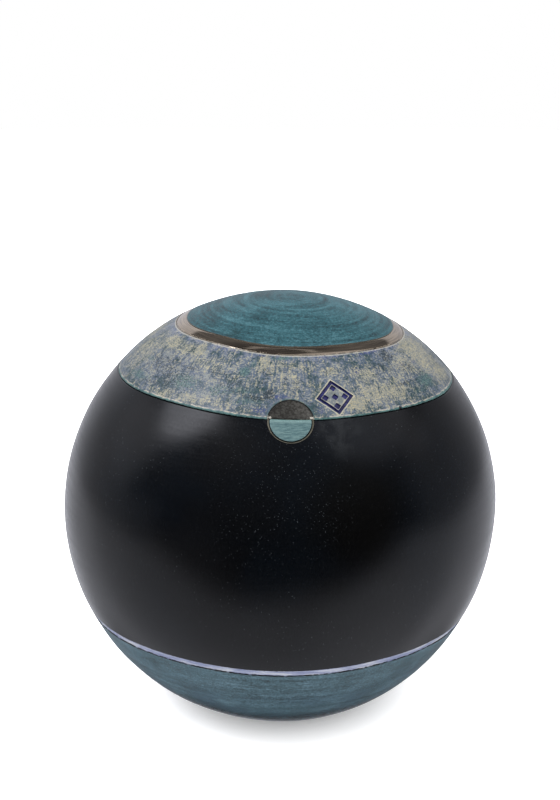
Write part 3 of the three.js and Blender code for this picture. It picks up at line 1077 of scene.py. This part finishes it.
def lid_glaze():
    g = Glaze("mottled_glaze")
    turned = g.circle_latitude(BAND_LEAN, 0.12, 0.5)
    edge = (g.circle_latitude(JOINT_LEAN) - JOINT_LATITUDE) * math.radians(RADIUS / MM)
    breaks = g.noise(0.3, 3.0, 0.65, offset=33.0)
    colour, height, roughness = shoulder_colour(g, turned)
    colour = lower_edge(g, colour, edge, breaks)

    # Dome, with a dark smudge
    teal, teal_height, teal_rough = brushed_teal(g, BAND_LEAN, ON_DOME, DOME_TONES, DOME_ARCS)
    smudge = g.step(g.place_distance(*SMUDGE_PLACE), 6.0, 1.0) * g.step(breaks, 0.35, 0.6)
    teal = g.mix(smudge * 0.7, teal, pigment(24, 62, 66, ON_DOME))
    dome = g.step(turned, BAND_HIGH - BAND_STEP, BAND_HIGH + BAND_STEP)
    colour = g.mix(dome, colour, teal)
    roughness = g.blend(dome, roughness, teal_rough)

    # Lustre: the band above a pale lip, and the upper half of the medallion inside a teal rim
    from_medallion = g.place_distance(MEDALLION_AZIMUTH, MEDALLION_LATITUDE)
    rim = MEDALLION_RADIUS / MM
    # The pale lip is partly cream glaze and partly a painted highlight on its edge
    lip = g.within(turned, BAND_LOW - 0.42, BAND_LOW - 0.06, 0.08) * g.step(breaks, 0.32, 0.5)
    colour = g.mix(lip * 0.75, colour, pigment(202, 198, 184))
    colour = g.mix(g.within(from_medallion, rim + 0.1, rim + 0.6, 0.2) * 0.7, colour, pigment(66, 104, 104))
    band = g.within(turned, BAND_LOW - BAND_STEP, BAND_HIGH + BAND_STEP, BAND_STEP)
    brushed = g.strokes(BAND_LEAN, 0.3, 0.35, 3.0, 0.6, offset=31.0)
    colour = g.mix(band, colour, g.mix(g.step(brushed, 0.35, 0.65), *BAND_BRONZE))
    inset = g.step(from_medallion, rim - 0.1, rim - 0.3)
    colour = g.mix(inset, colour, g.mix(g.step(g.noise(0.9, 3.0, 0.7), 0.4, 0.6), *INSET_BRONZE))
    lustre = band | inset
    roughness = g.blend(band, roughness, g.blend(g.step(brushed, 0.3, 0.7), 0.07, 0.14))
    roughness = g.blend(inset, roughness, 0.3)

    # What breaks the lustre: dark lines along the band, partly painted shade, a painted shadow and painted
    # corner glints in the medallion, and its tan foot
    # A painted shadow under the medallion's upper wall
    shadow = g.within(from_medallion, rim - 0.35, rim + 0.1, 0.1)
    # Dark lines along the band's two steps, in part painted shade in the steps, torn wider along the lower
    # step to break up its reflection
    low_line = g.within(turned, BAND_LOW - 0.1, BAND_LOW + 0.12, 0.06)
    high_line = g.within(turned, BAND_HIGH - 0.12, BAND_HIGH + 0.06, 0.06)
    torn = g.within(turned, BAND_LOW - 0.1, BAND_LOW + 0.45, 0.06) * g.step(breaks, 0.60, 0.50)
    lines = torn | (low_line | high_line)
    colour = g.mix((lines | shadow) * 0.85, colour, pigment(28, 28, 30))
    # Painted glints in the lower corners of the medallion's upper half
    corner_glints = g.within(from_medallion, rim - 1.6, rim, 0.2) * g.within(edge, 0.3, 2.6, 0.4)
    corner_glints = corner_glints * g.step(breaks, 0.40, 0.48)
    colour = g.mix(corner_glints, colour, pigment(220, 214, 200))
    tan = g.within(edge, 0.5, 1.6, 0.3) * g.step(breaks, 0.4, 0.5) * inset
    colour = g.mix(tan * 0.6, colour, pigment(120, 108, 96))
    metallic = lustre * g.step(lines | tan | corner_glints | shadow, 0.6, 0.4)

    colour = seal_colour(g, colour, breaks)
    height = g.blend(dome, height, teal_height) * g.blend(lustre, 1.0, 0.06)
    return g.finish(colour, roughness, metallic, height, LID_BUMP, 0.4)


def black_colour(g):
    """Near black, bluer or browner in places, with a painted sheen, pale specks and dust, most of them in
    front.
    """
    clouds = g.noise(0.016, 3.0, 0.55, offset=7.0)
    colour = g.mix(g.step(clouds, 0.38, 0.62), BLACK, BLUE_BLACK)
    colour = g.mix(g.step(g.place_distance(*BROWN_PLACE), 34.0, 10.0) * 0.8, colour, BROWN_BLACK)
    # A painted sheen: a faint pale cloud on the black to the right of the medallion
    sheen = g.step(g.place_distance(*PAINTED_SHEEN_PLACE), 17.0, 4.0)
    colour = g.mix(sheen * g.step(g.noise(0.13, 3.0, offset=37.0), 0.4, 0.6) * 0.5, colour, PAINTED_SHEEN)
    dusty = g.step(g.noise(0.03, 2.0, offset=27.0), 0.42, 0.6)
    colour = g.mix(g.specks(2.0, 0.22) * g.blend(dusty, 0.15, 0.8), colour, BRIGHT_SPECK)
    crowd = g.step(g.place_distance(*SPECKLED_PLACE), 48.0, 20.0)
    colour = g.mix(g.specks(1.4, 0.20) * crowd * g.blend(dusty, 0.5, 1.0), colour, DULL_SPECK)
    dust = g.step(g.noise(1.8, 3.0, 0.7, offset=47.0), 0.54, 0.66)
    return g.mix(dust * crowd * 0.35, colour, DUST)


def base_colour(g, level):
    """The teal base, blotted, bluer further down and darkened at the foot by painted shade."""
    teal, height, roughness = brushed_teal(g, LEVEL, ON_BASE, BASE_TONES, BASE_ARCS)
    blots = g.step(g.noise(0.28, 3.0, 0.65, 0.5, offset=71.0), 0.61, 0.70)
    teal = g.mix(blots * 0.5, teal, pigment(40, 54, 58, ON_BASE))
    blue = g.step(level, -30.0, -44.0) * g.step(g.noise(0.04, 2.0, offset=81.0), 0.4, 0.6)
    teal = g.mix(blue * 0.5, teal, pigment(58, 88, 110, ON_BASE))
    # Painted shade at the foot, where the urn shades itself and the table under it
    teal = g.mix(g.step(level, -42.0, -51.0) * 0.65, teal, pigment(14, 42, 52, ON_BASE))
    return teal, height, g.blend(g.step(level, -38.0, -56.0), roughness, 0.2)


def body_glaze():
    g = Glaze("black_satin_glaze")
    level = g.circle_latitude(GROOVE_LEAN, 0.25, 0.7)
    turn = g.strokes(LEVEL, 0.35, 0.5, 4.0, 0.6, offset=2.0)
    grain = g.noise(0.9, 2.0, 0.6, offset=11.0)
    roughness = g.blend(g.step(g.weighted((turn, 0.5), (grain, 0.5)), 0.4, 0.6), 0.19, 0.26)
    teal, teal_height, teal_rough = base_colour(g, level)
    base = g.step(level, GROOVE_BOTTOM + 0.05, GROOVE_BOTTOM - 0.05)
    colour = g.mix(base, black_colour(g), teal)
    roughness = g.blend(base, roughness, teal_rough)

    # Lavender groove over a dark pitted line
    groove = g.within(level, GROOVE_BOTTOM + 0.06, GROOVE_TOP + 0.12, 0.05)
    brushed = g.strokes(LEVEL, 0.12, 0.8, 3.0, 0.6, offset=5.0)
    lavender, lilac, white = ((144, 153, 190), (170, 178, 208), (216, 220, 230))
    stops = ((0.36, lavender), (0.5, lilac), (0.64, white))
    colour = g.mix(groove, colour, g.ramp(brushed, *((at, pigment(*tone, ON_BASE)) for at, tone in stops)))
    roughness = g.blend(groove, roughness, 0.4)
    pitted = g.within(level, GROOVE_BOTTOM - 0.12, GROOVE_BOTTOM + 0.14, 0.05)
    pitted = pitted * g.step(g.noise(0.5, 2.0, offset=91.0), 0.36, 0.5)
    colour = g.mix(pitted, colour, pigment(20, 22, 24))

    # Lower half of the medallion: brushed teal with a painted highlight under the joint, inside a beige
    # outline that is partly bare clay and partly a painted highlight
    from_medallion = g.place_distance(MEDALLION_AZIMUTH, MEDALLION_LATITUDE)
    rim = TEAL_HALF_RADIUS / MM
    inset = g.step(from_medallion, rim - 0.2, rim - 0.35)
    outline = g.within(from_medallion, rim + 0.23, rim + 0.75, 0.08)
    marks = g.strokes(LEVEL, 0.04, 0.22, 3.0, 0.7, offset=12.0)
    stops = ((0.36, (72, 106, 112)), (0.5, (98, 132, 135)), (0.64, (122, 154, 154)))
    light_teal = g.ramp(marks, *((at, pigment(*tone)) for at, tone in stops))
    # A painted highlight along the teal's top edge under the joint
    top_highlight = g.step(g.latitude(JOINT_LEAN), JOINT_LATITUDE - 0.7, JOINT_LATITUDE - 0.2)
    light_teal = g.mix(top_highlight * 0.6, light_teal, pigment(140, 172, 170))
    colour = g.mix(inset, colour, light_teal)
    # The beige outline: partly bare clay, partly a painted highlight on the recess edge
    colour = g.mix(outline * 0.9, colour, pigment(122, 118, 102))
    roughness = g.blend(inset | outline, roughness, 0.4)
    height = g.blend(base | inset, g.weighted((turn, 0.09), (grain, 0.04)), teal_height)
    return g.finish(colour, roughness, 0.0, height, BODY_BUMP, 0.25)


def bare_clay():
    g = Glaze("bare_clay")
    grog = g.noise(1.1, 3.0, 0.7)
    clouds = g.noise(0.05, 2.0, 0.5, offset=4.0)
    colour = g.mix(g.step(clouds, 0.4, 0.6), pigment(128, 112, 96), pigment(146, 130, 112))
    colour = g.mix(g.step(grog, 0.55, 0.7) * 0.6, colour, pigment(84, 70, 60))
    return g.finish(colour, 0.85, 0.0, grog, BODY_BUMP, 0.3)


# The floor's corners, in metres, and how it glows
FLOOR_CORNERS = ((-1.6, -1.2, 0), (1.6, -1.2, 0), (1.6, 2.4, 0), (-1.6, 2.4, 0))
FLOOR_LOOK = {
    "Base Color": (0.9, 0.9, 0.9, 1),
    "Roughness": 0.9,
    "Specular IOR Level": 0.1,
    "Emission Color": (1, 1, 1, 1),
    "Emission Strength": 0.28,
}


def make_floor():
    """A pale sheet that glows a little, as a light table does, and that the gloss doesn't mirror."""
    material = bpy.data.materials.new("pale_floor")
    nodes = Nodes(material)
    nodes.add("OutputMaterial", {"Surface": nodes.value("BsdfPrincipled", FLOOR_LOOK, "BSDF")})
    mesh = bpy.data.meshes.new("floor")
    mesh.from_pydata(FLOOR_CORNERS, [], [range(4)])
    mesh.materials.append(material)
    floor = in_scene("floor", mesh)
    floor.visible_glossy = False


# The studio's light, as parts of a full one
LIGHT_COLOUR = (0.775, 0.785, 0.855, 1)
TABLE_LIGHT = 1.12
TABLE_SHADE = 0.93
BACKDROP_LIGHT = 0.55
BACKDROP_LOSS_RIGHT = 0.21
BACKDROP_GAIN_BEHIND = 0.35
ROOM_LIGHT = 0.055
ROOM_GAIN_ABOVE = 0.28
STRIP_LIGHT = 0.6
ZENITH_LIGHT = 0.09

# Soft round patches that add light or, below zero, take it: azimuth, elevation, core and edge in degrees, and
# brightness
SOFT_PATCHES = (
    (-84.0, 50.0, 10.0, 20.0, 7.4),
    (75.0, 57.0, 18.0, 32.0, 0.95),
    (-100.0, 27.0, 5.0, 24.0, 0.5),
    (-38.0, 56.0, 10.0, 28.0, 0.22),
    (93.0, 30.0, 4.0, 13.0, 0.4),
    (-72.0, 5.0, 3.0, 11.0, 0.18),
    (-80.0, 13.0, 3.0, 12.0, -0.3),
    (50.0, -40.0, 10.0, 30.0, 0.25),
    (-42.0, -8.0, 5.0, 20.0, 0.15),
    (-94.0, 44.0, 3.0, 12.0, -2.4),
    (-61.0, 44.0, 2.0, 8.0, -0.7),
    (-54.0, 53.0, 2.0, 9.0, 0.9),
)


def make_world():
    """White for the eye, and for the light a pale table, a bright backdrop, a dim room and soft patches."""
    world = bpy.data.worlds.new("studio")
    w = Nodes(world)
    direction = w.value("TexCoord", {}, "Generated")

    def facing(azimuth, elevation):
        return w.dot(direction, unit(azimuth, elevation))

    height = facing(0.0, 90.0)
    away = facing(180.0, 0.0)
    right = facing(90.0, 0.0)
    behind = away / w.maths("MAXIMUM", w.maths("SQRT", away * away + right * right), 0.001)

    # The pale table below, further down in front, and darker behind, where the urn shades it
    front = w.step(behind, -0.3, -0.97)
    horizon = -0.13 - front * 0.37
    below = w.step((height - horizon) / (0.11 + front * 0.1), 1.0, -1.0) * TABLE_LIGHT
    shade = w.step(height, -0.45, -0.75) * w.step(behind, 0.4, 0.85)

    # The backdrop, brightest straight behind the urn and dimmer on the right, with a sharp upper edge
    rightwards = w.step(right, -0.3, 0.3)
    level = BACKDROP_LIGHT - rightwards * BACKDROP_LOSS_RIGHT
    level = level + w.step(behind, 0.5, 0.95) * BACKDROP_GAIN_BEHIND
    ceiling = w.step(height + rightwards * 0.08, 0.575, 0.535)
    backdrop = w.step(behind, -0.42, -0.02) * ceiling * level

    # The room, lighter further up, with a thin strip high behind, light from the zenith, and the patches
    rise = w.maths("MAXIMUM", height, 0.0) * w.step(height, 1.0, 0.72)
    glow = (below | backdrop) * (1.0 - shade * TABLE_SHADE) + (ROOM_LIGHT + rise * ROOM_GAIN_ABOVE)
    strip = w.step(w.maths("ABSOLUTE", height - 0.925), 0.013, 0.006) * w.step(behind, 0.7, 0.8)
    glow = glow + strip * STRIP_LIGHT
    glow = glow + w.step(height, 0.92, 0.98) * ZENITH_LIGHT
    for azimuth, elevation, core, edge, brightness in SOFT_PATCHES:
        inside, outside = math.cos(math.radians(core)), math.cos(math.radians(edge))
        glow = glow + w.step(facing(azimuth, elevation), outside, inside) * brightness

    light = w.value("Background", {"Color": LIGHT_COLOUR, "Strength": glow})
    white = w.value("Background", {"Color": (1, 1, 1, 1), "Strength": 1.0})
    seen = w.value("LightPath", {}, "Is Camera Ray")
    w.add("OutputWorld", {"Surface": w.value("MixShader", {"Fac": seen, 1: light, 2: white})})
    bpy.context.scene.world = world


OVERHEAD_STRENGTH = 8.5
OVERHEAD_SPREAD = 120
OVERHEAD_TILT = 8


def make_overhead():
    """A very wide soft light from above, which the gloss doesn't mirror."""
    light = bpy.data.lights.new("overhead", "SUN")
    light.energy = OVERHEAD_STRENGTH
    light.angle = math.radians(OVERHEAD_SPREAD)
    lamp = in_scene("overhead", light)
    lamp.rotation_euler = (math.radians(OVERHEAD_TILT), 0, 0)
    lamp.visible_glossy = False


def make_camera():
    """The photograph's view: the lens is set by the ball's size in pixels at that distance."""
    elevation = math.radians(CAMERA_ELEVATION)
    distance = CAMERA_RADII * RADIUS
    focal_px = BALL_RADIUS_PX * math.sqrt(CAMERA_RADII ** 2 - 1)
    data = bpy.data.cameras.new("camera")
    data.sensor_width = SENSOR
    data.lens = focal_px / max(IMAGE_WIDTH, IMAGE_HEIGHT) * SENSOR
    data.clip_start = 0.01
    data.clip_end = 50
    camera = in_scene("camera", data)
    camera.location = (0, -distance * math.cos(elevation), CENTRE[2] + distance * math.sin(elevation))
    camera.rotation_euler = (math.radians(90 + CAMERA_PITCH), 0, 0)
    bpy.context.scene.camera = camera


clay = bare_clay()
lid = make_lid([lid_glaze(), clay])
paint_patches(lid)
body = make_body([body_glaze(), clay])
for piece, node, slot in ((lid, "urn_lid", "mottled_glaze"), (body, "urn_body", "black_satin_glaze")):
    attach(piece, "root")
    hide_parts(node)

make_camera()
make_floor()
make_world()
make_overhead()
bpy.context.scene.view_settings.view_transform = "Standard"
